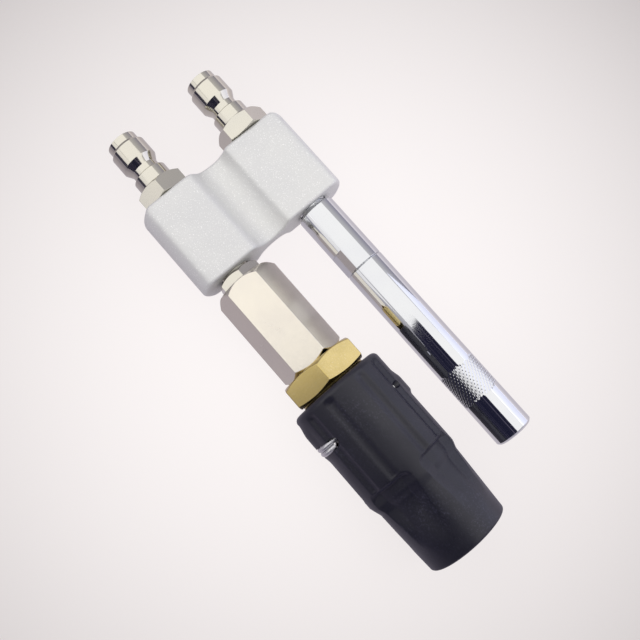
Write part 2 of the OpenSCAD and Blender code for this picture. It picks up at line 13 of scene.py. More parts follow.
import bmesh
import bpy
import numpy as np
from mathutils import Euler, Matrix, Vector


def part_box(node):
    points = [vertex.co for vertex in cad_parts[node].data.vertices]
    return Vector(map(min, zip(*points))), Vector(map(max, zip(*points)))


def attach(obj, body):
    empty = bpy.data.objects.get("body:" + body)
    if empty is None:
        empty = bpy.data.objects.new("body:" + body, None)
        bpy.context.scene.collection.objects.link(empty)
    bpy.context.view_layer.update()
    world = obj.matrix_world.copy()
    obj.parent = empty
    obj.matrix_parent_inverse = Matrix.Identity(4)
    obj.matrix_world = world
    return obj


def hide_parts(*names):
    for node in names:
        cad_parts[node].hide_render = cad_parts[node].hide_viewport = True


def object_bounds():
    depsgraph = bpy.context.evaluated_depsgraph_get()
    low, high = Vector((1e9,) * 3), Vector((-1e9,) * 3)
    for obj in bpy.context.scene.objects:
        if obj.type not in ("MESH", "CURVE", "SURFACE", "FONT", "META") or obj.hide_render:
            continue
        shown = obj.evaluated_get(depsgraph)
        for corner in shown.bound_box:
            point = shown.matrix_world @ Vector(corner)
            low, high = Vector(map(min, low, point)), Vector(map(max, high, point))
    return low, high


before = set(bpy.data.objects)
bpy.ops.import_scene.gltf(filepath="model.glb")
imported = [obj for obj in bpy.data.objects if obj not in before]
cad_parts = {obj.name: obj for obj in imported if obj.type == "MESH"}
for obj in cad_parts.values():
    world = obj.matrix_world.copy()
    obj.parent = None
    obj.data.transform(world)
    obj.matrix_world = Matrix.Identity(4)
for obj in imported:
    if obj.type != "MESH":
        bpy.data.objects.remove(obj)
CAD_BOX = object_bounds()
CENTRE = (np.array(CAD_BOX[0]) + np.array(CAD_BOX[1])) / 2

MM = 0.001
WELD_REACH = 2e-6
FLAT_TURN = 0.4
EASED_SHARP = 50.0
NEAR_ZERO = 1e-4
FULL_TURN = 2 * np.pi
log = logging.getLogger("nozzle")

Colour = tuple[float, float, float]
Span = tuple[float, float, float]
Socket = bpy.types.NodeSocket


# ---- shapes ---------------------------------------------------------------

def smooth(low: float, high: float, value: np.ndarray) -> np.ndarray:
    """Smooth step: 0 below low, 1 above high, 3t^2 - 2t^3 between them."""
    t = np.clip((value - low) / (high - low), 0.0, 1.0)
    return t * t * (3.0 - 2.0 * t)


def arc(centre: tuple[float, float], radius: float, start: float, end: float,
        count: int) -> np.ndarray:
    """Points on a circle arc.

    Args:
        centre: (x, r) of the arc's centre.
        radius: its radius.
        start: first angle in degrees, from +x towards +r.
        end: last angle in degrees.
        count: how many points.

    Returns:
        An array of (x, r) points, count long.
    """
    a = np.radians(np.linspace(start, end, count))
    return np.column_stack([centre[0] + radius * np.cos(a), centre[1] + radius * np.sin(a)])


def run(start: tuple[float, float], end: tuple[float, float], count: int) -> np.ndarray:
    """Points evenly spaced on a straight line from start to end, both included."""
    return np.linspace(start, end, count)


def whole_turn(count: int) -> np.ndarray:
    """Angles in radians that divide a full turn into count equal steps."""
    return np.linspace(0, FULL_TURN, count, endpoint=False)


def turned_grid(profile: np.ndarray, turns: np.ndarray, line_y: float,
                rise: np.ndarray | float = 0.0) -> np.ndarray:
    """A profile turned about the X axis of a line.

    The point for station i and angle t is
    (x_i, line_y + (r_i + rise) sin t, (r_i + rise) cos t).

    Args:
        profile: (stations, 2) array of x and r.
        turns: angles in radians, from +Z towards +Y.
        line_y: where the line's axis crosses Y.
        rise: what each grid point adds to its radius.

    Returns:
        A (stations, angles, 3) array of points.
    """
    radius = profile[:, 1:2] + rise + np.zeros((len(profile), len(turns)))
    along = np.repeat(profile[:, 0:1], len(turns), axis=1)
    return np.stack([along, line_y + radius * np.sin(turns), radius * np.cos(turns)], axis=-1)


def grid_faces(rows: int, columns: int, close_rows: bool) -> np.ndarray:
    """Quads of a grid whose columns close on themselves.

    Args:
        rows: how many rows.
        columns: how many columns.
        close_rows: whether the last row joins the first.

    Returns:
        An (n, 4) array of vertex numbers.
    """
    r = np.arange(rows if close_rows else rows - 1)[:, None]
    c = np.arange(columns)[None, :]
    nr, nc = (r + 1) % rows, (c + 1) % columns
    quad = np.stack([r * columns + c, nr * columns + c, nr * columns + nc, r * columns + nc], -1)
    return quad.reshape(-1, 4)


def outward(points: np.ndarray, faces: np.ndarray) -> np.ndarray:
    """The same quads, turned so that the shell's signed volume is positive."""
    a, b, c, d = (points[faces[:, k]] for k in range(4))
    volume = np.einsum("ij,ij->", a, np.cross(b, c)) + np.einsum("ij,ij->", a, np.cross(c, d))
    return faces if volume > 0 else faces[:, ::-1]


def shell(name: str, grid: np.ndarray, close_rows: bool, sharp: float = 35.0,
          welded: bool = False) -> bpy.types.Object:
    """Makes a closed shell from a grid of points.

    Args:
        name: the piece's name.
        grid: (rows, columns, 3) points in millimetres; columns close.
        close_rows: whether the last row joins the first.
        sharp: edges that turn more than this, in degrees, stay sharp.
        welded: whether points that meet are merged.

    Returns:
        The new object, at the origin.
    """
    points = grid.reshape(-1, 3) * MM
    faces = outward(points, grid_faces(grid.shape[0], grid.shape[1], close_rows))
    mesh = bpy.data.meshes.new(name)
    mesh.vertices.add(len(points))
    mesh.vertices.foreach_set("co", points.astype(np.float32).ravel())
    mesh.loops.add(faces.size)
    mesh.loops.foreach_set("vertex_index", faces.astype(np.int32).ravel())
    mesh.polygons.add(len(faces))
    mesh.polygons.foreach_set("loop_start", np.arange(0, faces.size, 4, dtype=np.int32))
    mesh.update(calc_edges=True)
    mesh.validate()
    piece = bpy.data.objects.new(name, mesh)
    bpy.context.scene.collection.objects.link(piece)
    if welded:
        weld(mesh, WELD_REACH)
    soften(mesh, sharp)
    return piece


def weld(mesh: bpy.types.Mesh, reach: float) -> None:
    """Merges the mesh's points that lie within reach of each other, in metres."""
    work = bmesh.new()
    work.from_mesh(mesh)
    bmesh.ops.remove_doubles(work, verts=work.verts, dist=reach)
    bmesh.ops.dissolve_degenerate(work, edges=work.edges, dist=reach * 0.1)
    work.to_mesh(mesh)
    work.free()


def join_flats(mesh: bpy.types.Mesh, angle: float) -> None:
    """Joins neighbouring faces that turn less than angle degrees into one."""
    work = bmesh.new()
    work.from_mesh(mesh)
    bmesh.ops.dissolve_limit(work, angle_limit=np.radians(angle), verts=work.verts,
                             edges=work.edges)
    work.to_mesh(mesh)
    work.free()


def soften(mesh: bpy.types.Mesh, sharp: float) -> None:
    """Shades the mesh smooth, but for edges that turn more than sharp degrees."""
    mesh.polygons.foreach_set("use_smooth", np.ones(len(mesh.polygons), dtype=bool))
    mesh.set_sharp_from_angle(angle=np.radians(sharp))
    mesh.update()


def settle(piece: bpy.types.Object) -> None:
    """Applies the piece's modifiers, so that its mesh is its final shape."""
    graph = bpy.context.evaluated_depsgraph_get()
    made = bpy.data.meshes.new_from_object(piece.evaluated_get(graph), depsgraph=graph)
    piece.modifiers.clear()
    old, piece.data = piece.data, made
    made.name = piece.name
    bpy.data.meshes.remove(old)


def carve(piece: bpy.types.Object, cutter: bpy.types.Object, sharp: float = 35.0) -> None:
    """Takes the cutter's space out of the piece and removes the cutter."""
    cut = piece.modifiers.new("carve", "BOOLEAN")
    cut.operation, cut.object, cut.solver = "DIFFERENCE", cutter, "MANIFOLD"
    settle(piece)
    mesh = cutter.data
    bpy.data.objects.remove(cutter)
    bpy.data.meshes.remove(mesh)
    soften(piece.data, sharp)


def rod(name: str, axis: str, centre: Vector, radius: float, low: float, high: float,
        count: int = 64) -> bpy.types.Object:
    """A closed cylinder to cut with.

    Args:
        name: its name.
        axis: "x" or "y", the way it runs.
        centre: a point on its axis, in millimetres.
        radius: its radius.
        low: where it starts along the axis.
        high: where it ends.
        count: points round it.

    Returns:
        The cylinder.
    """
    profile = np.array([(low, NEAR_ZERO), (low, radius), (high, radius), (high, NEAR_ZERO)])
    grid = turned_grid(profile, whole_turn(count), 0.0)
    if axis == "y":
        grid = grid[..., [1, 0, 2]]
    offset = np.array(centre)
    offset["xy".index(axis)] = 0.0
    return shell(name, grid + offset, False, welded=True)


def node_box(name: str) -> tuple[np.ndarray, np.ndarray]:
    """Lowest and highest corner of a frame node, in millimetres."""
    low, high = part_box(name)
    return np.array(low) / MM, np.array(high) / MM


def place(piece: bpy.types.Object, body: str, slot: str, *nodes: str) -> bpy.types.Object:
    """Puts a new piece on its body, in place of nodes."""
    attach(piece, body)
    if nodes:
        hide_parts(*nodes)
    log.info("%s: %d faces on %s", piece.name, len(piece.data.polygons), body)
    return piece


def eased_copy(name: str, node: str, width: float, limit: float = 28.0,
               clamped: bool = True) -> bpy.types.Object:
    """A copy of a frame node with every hard edge eased.

    Args:
        name: the new piece's name.
        node: the frame node.
        width: how wide each eased edge is, in millimetres.
        limit: edges that turn less than this, in degrees, are left.
        clamped: whether the width gives way where edges stand close together.

    Returns:
        The new piece.
    """
    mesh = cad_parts[node].data.copy()
    mesh.name = name
    mesh.materials.clear()
    weld(mesh, WELD_REACH)
    join_flats(mesh, FLAT_TURN)
    piece = bpy.data.objects.new(name, mesh)
    bpy.context.scene.collection.objects.link(piece)
    soften(mesh, limit)
    ease = piece.modifiers.new("ease", "BEVEL")
    ease.limit_method, ease.angle_limit = "ANGLE", np.radians(limit)
    ease.width, ease.segments, ease.use_clamp_overlap = width * MM, 2, clamped
    ease.miter_outer = "MITER_ARC"
    settle(piece)
    soften(piece.data, EASED_SHARP)
    flat = piece.modifiers.new("flat", "WEIGHTED_NORMAL")
    flat.mode, flat.keep_sharp = "FACE_AREA", True
    settle(piece)
    return piece


# ---- node groups ----------------------------------------------------------

class Tree:
    """A node tree with short calls to add and join nodes."""

    def __init__(self, tree: bpy.types.NodeTree) -> None:
        """Keeps the tree that the calls work on."""
        self.tree = tree

    def add(self, kind: str, **settings: object) -> bpy.types.Node:
        """Adds a node of a kind such as "TexNoise" and sets its properties."""
        node = self.tree.nodes.new("ShaderNode" + kind)
        for key, value in settings.items():
            setattr(node, key, value)
        return node

    def feed(self, node: bpy.types.Node, **inputs: object) -> bpy.types.Node:
        """Sets or joins inputs.

        Args:
            node: the node whose inputs they are.
            inputs: by socket name with _ for a space, or s0, s1 for a number;
                a socket is joined, and any other value is set.

        Returns:
            The same node.
        """
        for key, value in inputs.items():
            where = int(key[1:]) if key[0] == "s" and key[1:].isdigit() else key.replace("_", " ")
            socket = node.inputs[where]
            if isinstance(value, bpy.types.NodeSocket):
                self.tree.links.new(value, socket)
            else:
                socket.default_value = value
        return node

    def maths(self, operation: str, *values: object, clamp: bool = False) -> Socket:
        """A Math node's output for one to three values or sockets."""
        node = self.add("Math", operation=operation, use_clamp=clamp)
        return self.feed(node, **{f"s{i}": v for i, v in enumerate(values)}).outputs[0]

    def remap(self, value: Socket, low: float, high: float, to_low: float = 0.0,
              to_high: float = 1.0) -> Socket:
        """A clamped Map Range of value from low..high to to_low..to_high."""
        node = self.add("MapRange", clamp=True)
        return self.feed(node, s0=value, s1=low, s2=high, s3=to_low, s4=to_high).outputs[0]

    def noise(self, vector: Socket, scale: object, detail: float = 2.0,
              roughness: float = 0.5) -> Socket:
        """A noise value over vector."""
        node = self.add("TexNoise")
        self.feed(node, Vector=vector, Scale=scale, Detail=detail, Roughness=roughness)
        return node.outputs[0]

    def mix(self, share: object, first: object, second: object) -> Socket:
        """A colour between first and second."""
        node = self.add("Mix", data_type="RGBA")
        return self.feed(node, s0=share, s6=first, s7=second).outputs[2]


class Effect(Tree):
    """A shared node group: named inputs and outputs round a small tree."""

    def __init__(self, name: str, inputs: dict[str, float], outputs: list[str]) -> None:
        """Makes the group.

        Args:
            name: the group's name.
            inputs: each input's name and starting value.
            outputs: the outputs' names, all plain values.
        """
        group = bpy.data.node_groups.new(name, "ShaderNodeTree")
        super().__init__(group)
        self.group = group
        for key, value in inputs.items():
            made = group.interface.new_socket(name=key, in_out="INPUT",
                                              socket_type="NodeSocketFloat")
            made.default_value = value
        for key in outputs:
            group.interface.new_socket(name=key, in_out="OUTPUT",
                                       socket_type="NodeSocketFloat")
        self.start = group.nodes.new("NodeGroupInput")
        self.end = group.nodes.new("NodeGroupOutput")
        self.position = self.add("TexCoord").outputs["Object"]

    def put(self, name: str, value: Socket) -> None:
        """Joins a value to one of the group's outputs."""
        self.tree.links.new(value, self.end.inputs[name])


def blast_effect() -> Effect:
    """Blasted skin: overlapping small pits, and a sparse bright dotting painted in as glints."""
    e = Effect("blasted_skin", {"Pits per m": 3000.0, "Speckle": 0.5},
               ["Height", "Speckle"])
    size = e.start.outputs["Pits per m"]
    fine = e.noise(e.position, size, 3.0, 0.6)
    wide = e.noise(e.position, e.maths("MULTIPLY", size, 0.3), 2.0, 0.5)
    e.put("Height", e.maths("MULTIPLY_ADD", wide, 0.6, fine))
    # Painted glints: sparse bright dots that the colour is mixed towards.
    spark = e.noise(e.position, e.maths("MULTIPLY", size, 0.8), 1.0, 0.5)
    glint_spots = e.remap(spark, 0.60, 0.74)
    e.put("Speckle", e.maths("MULTIPLY", glint_spots, e.start.outputs["Speckle"]))
    return e


def lathe_effect() -> Effect:
    """Tool lines round the X axis: a noise that changes only along X."""
    e = Effect("lathe_lines", {"Lines per m": 6000.0, "Wander": 0.15}, ["Height", "Band"])
    split = e.feed(e.add("SeparateXYZ"), s0=e.position)
    drift = e.maths("MULTIPLY", e.noise(e.position, 90.0, 1.0),
                    e.maths("MULTIPLY", e.start.outputs["Wander"], 0.001))
    along = e.maths("ADD", split.outputs["X"], drift)
    fine = e.add("TexNoise", noise_dimensions="1D")
    e.feed(fine, W=e.maths("MULTIPLY", along, e.start.outputs["Lines per m"]),
           Scale=1.0, Detail=2.0)
    band = e.add("TexNoise", noise_dimensions="1D")
    e.feed(band, W=e.maths("MULTIPLY", along, 420.0), Scale=1.0, Detail=1.0)
    e.put("Height", fine.outputs[0])
    e.put("Band", e.remap(band.outputs[0], 0.3, 0.7))
    return e


def drawn_effect() -> Effect:
    """Drawing lines along X: a noise stretched forty times along the bar."""
    e = Effect("drawn_lines", {"Lines per m": 5000.0}, ["Height"])
    stretch = e.feed(e.add("VectorMath", operation="MULTIPLY"), s0=e.position,
                     s1=(0.025, 1.0, 1.0))
    e.put("Height", e.noise(stretch.outputs[0], e.start.outputs["Lines per m"], 2.0, 0.55))
    return e


def smudge_effect() -> Effect:
    """Handling marks: wide soft patches with a finer mottle inside them."""
    e = Effect("handling_smudges", {"Patches per m": 90.0}, ["Patch", "Mottle"])
    size = e.start.outputs["Patches per m"]
    patch = e.noise(e.position, size, 3.0, 0.55)
    mottle = e.noise(e.position, e.maths("MULTIPLY", size, 7.0), 3.0, 0.6)
    e.put("Patch", e.remap(patch, 0.35, 0.68))
    e.put("Mottle", e.remap(mottle, 0.3, 0.7))
    return e


def rubber_effect() -> Effect:
    """Moulded skin: a fine orange-peel height and a pale dusting."""
    e = Effect("moulded_skin", {"Grains per m": 2200.0}, ["Height", "Dust"])
    size = e.start.outputs["Grains per m"]
    skin = e.noise(e.position, size, 2.0, 0.5)
    dust = e.noise(e.position, e.maths("MULTIPLY", size, 0.7), 4.0, 0.75)
    where = e.remap(e.noise(e.position, 60.0, 2.0), 0.42, 0.66)
    e.put("Height", skin)
    e.put("Dust", e.maths("MULTIPLY", e.remap(dust, 0.52, 0.78), where))
    return e


# ---- finishes -------------------------------------------------------------

class Grain(Enum):
    """How a metal's surface was worked."""

    BLASTED = "blasted_skin"
    TURNED = "lathe_lines"
    DRAWN = "drawn_lines"
    POLISHED = "polished"


class Effects:
    """The shared node groups, built once."""

    def __init__(self) -> None:
        """Builds every group."""
        made = [blast_effect(), lathe_effect(), drawn_effect(), smudge_effect(), rubber_effect()]
        self.groups = {e.group.name: e.group for e in made}

    def use(self, tree: Tree, name: str, **values: float) -> bpy.types.Node:
        """Places a group in a material.

        Args:
            tree: the material's tree.
            name: the group's name.
            values: inputs by name with _ for a space.

        Returns:
            The group node.
        """
        node = tree.add("Group", node_tree=self.groups[name])
        return tree.feed(node, **values)


def bare_tree(owner: bpy.types.Material | bpy.types.World) -> Tree:
    """The owner's node tree, switched on and emptied."""
    owner.use_nodes = True
    owner.node_tree.nodes.clear()
    return Tree(owner.node_tree)


def new_material(name: str) -> tuple[bpy.types.Material, Tree, bpy.types.Node]:
    """An empty node material, its tree and its Principled shader."""
    material = bpy.data.materials.new(name)
    tree = bare_tree(material)
    shader = tree.add("BsdfPrincipled")
    output = tree.add("OutputMaterial")
    tree.tree.links.new(shader.outputs[0], output.inputs["Surface"])
    return material, tree, shader


def rgba(colour: Colour) -> tuple[float, float, float, float]:
    """A colour with full alpha."""
    return (*colour, 1.0)


@dataclass(frozen=True)
class Metal:
    """A metal finish: its colour, gloss and the marks of how it was worked, with painted glints
    on blasted metal.
    """

    name: str
    colour: Colour
    shade: Colour
    roughness: float
    roughness_spread: float
    grain: Grain
    grain_per_m: float
    grain_depth: float
    # How strongly painted glints whiten the colour; used on blasted metals only.
    speckle: float = 0.0
    patches_per_m: float = 90.0
    metallic: float = 1.0

    def build(self, effects: Effects) -> bpy.types.Material:
        """Makes the material: base colour and roughness vary with handling
        smudges, and the worked grain feeds a bump."""
        material, tree, shader = new_material(self.name)
        smudge = effects.use(tree, "handling_smudges", Patches_per_m=self.patches_per_m)
        patch, mottle = smudge.outputs["Patch"], smudge.outputs["Mottle"]
        colour = tree.mix(patch, rgba(self.colour), rgba(self.shade))
        low, high = self.roughness - self.roughness_spread, self.roughness + self.roughness_spread
        marks = tree.maths("MULTIPLY_ADD", mottle, 0.45, tree.maths("MULTIPLY", patch, 0.55))
        rough = tree.remap(marks, 0.0, 1.0, low, high)
        height = mottle
        if self.grain is Grain.BLASTED:
            skin = effects.use(tree, "blasted_skin", Pits_per_m=self.grain_per_m,
                               Speckle=self.speckle)
            height = skin.outputs["Height"]
            # Painted glints: the bright dots whiten the base colour; they also lower the
            # roughness.
            colour = tree.mix(skin.outputs["Speckle"], colour, (1.0, 1.0, 0.99, 1.0))
            rough = tree.maths("SUBTRACT", rough,
                               tree.maths("MULTIPLY", skin.outputs["Speckle"], 0.2))
        elif self.grain is Grain.TURNED:
            lines = effects.use(tree, "lathe_lines", Lines_per_m=self.grain_per_m)
            height = lines.outputs["Height"]
            rough = tree.maths("MULTIPLY_ADD", lines.outputs["Band"],
                               self.roughness_spread * 0.5, rough)
        elif self.grain is Grain.DRAWN:
            lines = effects.use(tree, "drawn_lines", Lines_per_m=self.grain_per_m)
            height = lines.outputs["Height"]
        bump = tree.add("Bump")
        tree.feed(bump, Strength=1.0, Distance=self.grain_depth * MM, Height=height)
        tree.feed(shader, Base_Color=colour, Roughness=rough, Metallic=self.metallic,
                  Normal=bump.outputs[0])
        return material


@dataclass(frozen=True)
class Polymer:
    """A rubber or plastic finish."""

    name: str
    colour: Colour
    dust: Colour
    dust_share: float
    roughness: float
    grain_per_m: float
    grain_depth: float
    specular: float = 0.5
    sheen: float = 0.0
    sheen_colour: Colour = (1.0, 1.0, 1.0)

    def build(self, effects: Effects) -> bpy.types.Material:
        """Makes the material: a moulded skin bump, pale dust that lies
        in patches, and a gloss that varies in handling patches."""
        material, tree, shader = new_material(self.name)
        skin = effects.use(tree, "moulded_skin", Grains_per_m=self.grain_per_m)
        smudge = effects.use(tree, "handling_smudges", Patches_per_m=70.0)
        share = tree.maths("MULTIPLY", skin.outputs["Dust"], self.dust_share, clamp=True)
        colour = tree.mix(share, rgba(self.colour), rgba(self.dust))
        rough = tree.remap(smudge.outputs["Patch"], 0.0, 1.0, self.roughness - 0.05,
                           self.roughness + 0.08)
        bump = tree.add("Bump")
        tree.feed(bump, Strength=1.0, Distance=self.grain_depth * MM,
                  Height=skin.outputs["Height"])
        tree.feed(shader, Base_Color=colour, Roughness=rough, Metallic=0.0,
                  Normal=bump.outputs[0])
        tree.feed(shader, Specular_IOR_Level=self.specular, Sheen_Weight=self.sheen,
                  Sheen_Tint=rgba(self.sheen_colour), Sheen_Roughness=0.45)
        return material


# Blasted metals carry a share of painted glints in their colour.
FINISHES: tuple[Metal | Polymer, ...] = (
    Metal("blasted_aluminium", (0.785, 0.79, 0.775), (0.765, 0.77, 0.765), 0.60, 0.05,
          Grain.BLASTED, 3400.0, 0.026, speckle=0.9, patches_per_m=60.0, metallic=0.45),
    Metal("nickel", (0.69, 0.665, 0.58), (0.65, 0.63, 0.565), 0.10, 0.03,
          Grain.TURNED, 9000.0, 0.0006),
    Metal("plated_hexagon", (0.785, 0.74, 0.65), (0.76, 0.715, 0.64), 0.25, 0.04,
          Grain.BLASTED, 3600.0, 0.004, speckle=0.10),
    Metal("brass", (0.67, 0.53, 0.215), (0.61, 0.48, 0.185), 0.15, 0.04,
          Grain.BLASTED, 3600.0, 0.003, speckle=0.14),
    Metal("stainless", (0.66, 0.65, 0.64), (0.58, 0.57, 0.56), 0.26, 0.06,
          Grain.TURNED, 7000.0, 0.002),
    Metal("spring_steel", (0.80, 0.80, 0.81), (0.68, 0.68, 0.71), 0.42, 0.05,
          Grain.DRAWN, 4200.0, 0.0006),
    Metal("chrome", (0.725, 0.74, 0.755), (0.70, 0.715, 0.74), 0.055, 0.02,
          Grain.POLISHED, 900.0, 0.0010),
    Polymer("black_plastic", (0.014, 0.014, 0.016), (0.10, 0.10, 0.11), 0.2, 0.42,
            1800.0, 0.008),
    Polymer("grip_rubber", (0.0056, 0.0056, 0.0155), (0.12, 0.115, 0.19), 0.42, 0.43,
            2200.0, 0.018, specular=0.60, sheen=0.05, sheen_colour=(0.40, 0.40, 1.0)),
    Polymer("seal_rubber", (0.018, 0.018, 0.018), (0.09, 0.09, 0.09), 0.15, 0.48,
            3000.0, 0.006),
)


class Wardrobe:
    """Every finish by the name of its slot."""

    def __init__(self) -> None:
        """Builds the node groups and then each finish."""
        effects = Effects()
        self.made = {f.name: f.build(effects) for f in FINISHES}

    def dress(self, piece: bpy.types.Object, finish: str) -> None:
        """Gives a piece, new or of the frame, one finish all over."""
        material = self.made[finish]
        if not piece.material_slots:
            piece.data.materials.append(material)
        for slot in piece.material_slots:
            slot.material = material

    def dress_frame(self) -> None:
        """Dresses each frame node with the finish of its own slot."""
        for name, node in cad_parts.items():
            worn = [s.material.name.split(".")[0] for s in node.material_slots if s.material]
            finish = next((w for w in worn if w in self.made), "stainless")
            self.dress(node, finish)
            log.info("%s wears %s", name, finish)


# ---- sub-assemblies -------------------------------------------------------

@dataclass
class ManifoldBlock:
    """The cast block that joins the two lines."""

    lobe_r: float = 11.8
    fan_flat: float = 8.4
    jet_flat: float = 6.9
    web: float = 2.4
    hollow: float = 5.5
    corner_power: float = 22.0
    inlet_edge: float = 1.1
    outlet_edge: float = 0.8
    outer_edge: float = 1.6
    port_r: float = 5.15
    port_depth: float = 10.5
    water_r: float = 3.5
    water_inset: float = 5.0
    pitch: float = 31.75
    flank: tuple[float, float] = (7.0, 11.5)
    cap_start: float = 0.15
    cap_rings: int = 8
    edge_rings: int = 9
    sharp: float = 40.0

    def lobe(self, flat: float, start: float, end: float) -> np.ndarray:
        """Half outline of one lobe.

        The radius at angle a is (|1/R|^p + |sin a / h|^p)^(-1/p): a circle of
        radius R cut by two flats at height h, with softly rounded corners.

        Args:
            flat: the height h of the flats.
            start: first angle in degrees, from +Y towards +Z.
            end: last angle in degrees.

        Returns:
            (n, 2) points of y and z from the lobe's own axis.
        """
        a = np.radians(np.linspace(start, end, 110))
        p = self.corner_power
        r = (self.lobe_r ** -p + np.abs(np.sin(a) / flat) ** p) ** (-1 / p)
        return np.column_stack([r * np.cos(a), r * np.sin(a)])

    def outline(self) -> np.ndarray:
        """The closed outline across the flow: lobe, hollow, web, hollow, lobe.

        The hollows are arcs of radius f that touch a lobe of radius R and the
        web of half thickness w, so their centres stand sqrt((R+f)^2 - (w+f)^2)
        from the lobe's axis at height w + f.

        Returns:
            (n, 2) points of y and z, the lower half mirroring the upper.
        """
        reach = self.lobe_r + self.hollow
        lift = self.web + self.hollow
        centre = np.sqrt(reach ** 2 - lift ** 2)
        touch = np.degrees(np.arctan2(lift, centre))
        fan = self.lobe(self.fan_flat, 180.0, touch)
        dip = arc((centre, lift), self.hollow, 180.0 + touch, 270.0, 26)[1:]
        rise = dip[::-1] * (-1.0, 1.0) + (self.pitch, 0.0)
        jet = self.lobe(self.jet_flat, 180.0 - touch, 0.0) + (self.pitch, 0.0)
        upper = np.vstack([fan, dip, rise, jet])
        return np.vstack([upper, upper[-2:0:-1] * (1.0, -1.0)])

    def build(self, clothes: Wardrobe) -> None:
        """Builds the block: the outline is set in along its normals by
        e - sqrt(e^2 - (e - d)^2) at a distance d from an end, which rounds the
        edge; the end faces then run in to the line between the two axes."""
        low, high = node_box("manifold_block")
        section = self.outline()
        step = np.roll(section, -1, 0) - np.roll(section, 1, 0)
        step /= np.linalg.norm(step, axis=1, keepdims=True)
        normal = np.column_stack([-step[:, 1], step[:, 0]])
        y = section[:, 0]
        near, far = self.flank
        outer = np.maximum(smooth(-near, -far, y), smooth(self.pitch + near, self.pitch + far, y))
        bends = np.radians(np.linspace(0.0, 90.0, self.edge_rings))
        caps = np.linspace(self.cap_start, 1.0, self.cap_rings)
        spine = np.column_stack([np.clip(y, 0.0, self.pitch), np.zeros_like(y)])

        def ring(x: np.ndarray, inset: np.ndarray, gather: float) -> np.ndarray:
            """One ring of points at x, set in, and gathered to the spine."""
            flat = section - normal * inset[:, None]
            flat = flat + (spine - flat) * gather
            return np.column_stack([x, flat[:, 0], flat[:, 1]])

        first = self.inlet_edge + self.outer_edge * outer
        last = self.outlet_edge + 0.5 * outer
        start, end = np.full_like(y, low[0]), np.full_like(y, high[0])
        rows = [ring(start, first, g) for g in caps[::-1]]
        rows += [ring(start + first * (1 - np.sin(b)), first * (1 - np.cos(b)), 0.0)
                 for b in bends[::-1]]
        rows += [ring(end - last * (1 - np.sin(b)), last * (1 - np.cos(b)), 0.0) for b in bends]
        rows += [ring(end, last, g) for g in caps]
        block = shell("manifold_block_skin", np.stack(rows), False, sharp=self.sharp,
                      welded=True)
        way = (low[0] + self.water_inset, high[0] - self.water_inset)
        for line in (0.0, self.pitch):
            centre = Vector((0.0, line, 0.0))
            for port in ((low[0] - 1, low[0] + self.port_depth),
                         (high[0] - self.port_depth, high[0] + 1)):
                carve(block, rod("port", "x", centre, self.port_r, *port), self.sharp)
            carve(block, rod("way", "x", centre, self.water_r, *way), self.sharp)
        clothes.dress(block, "blasted_aluminium")
        place(block, "base", "blasted_aluminium", "manifold_block")


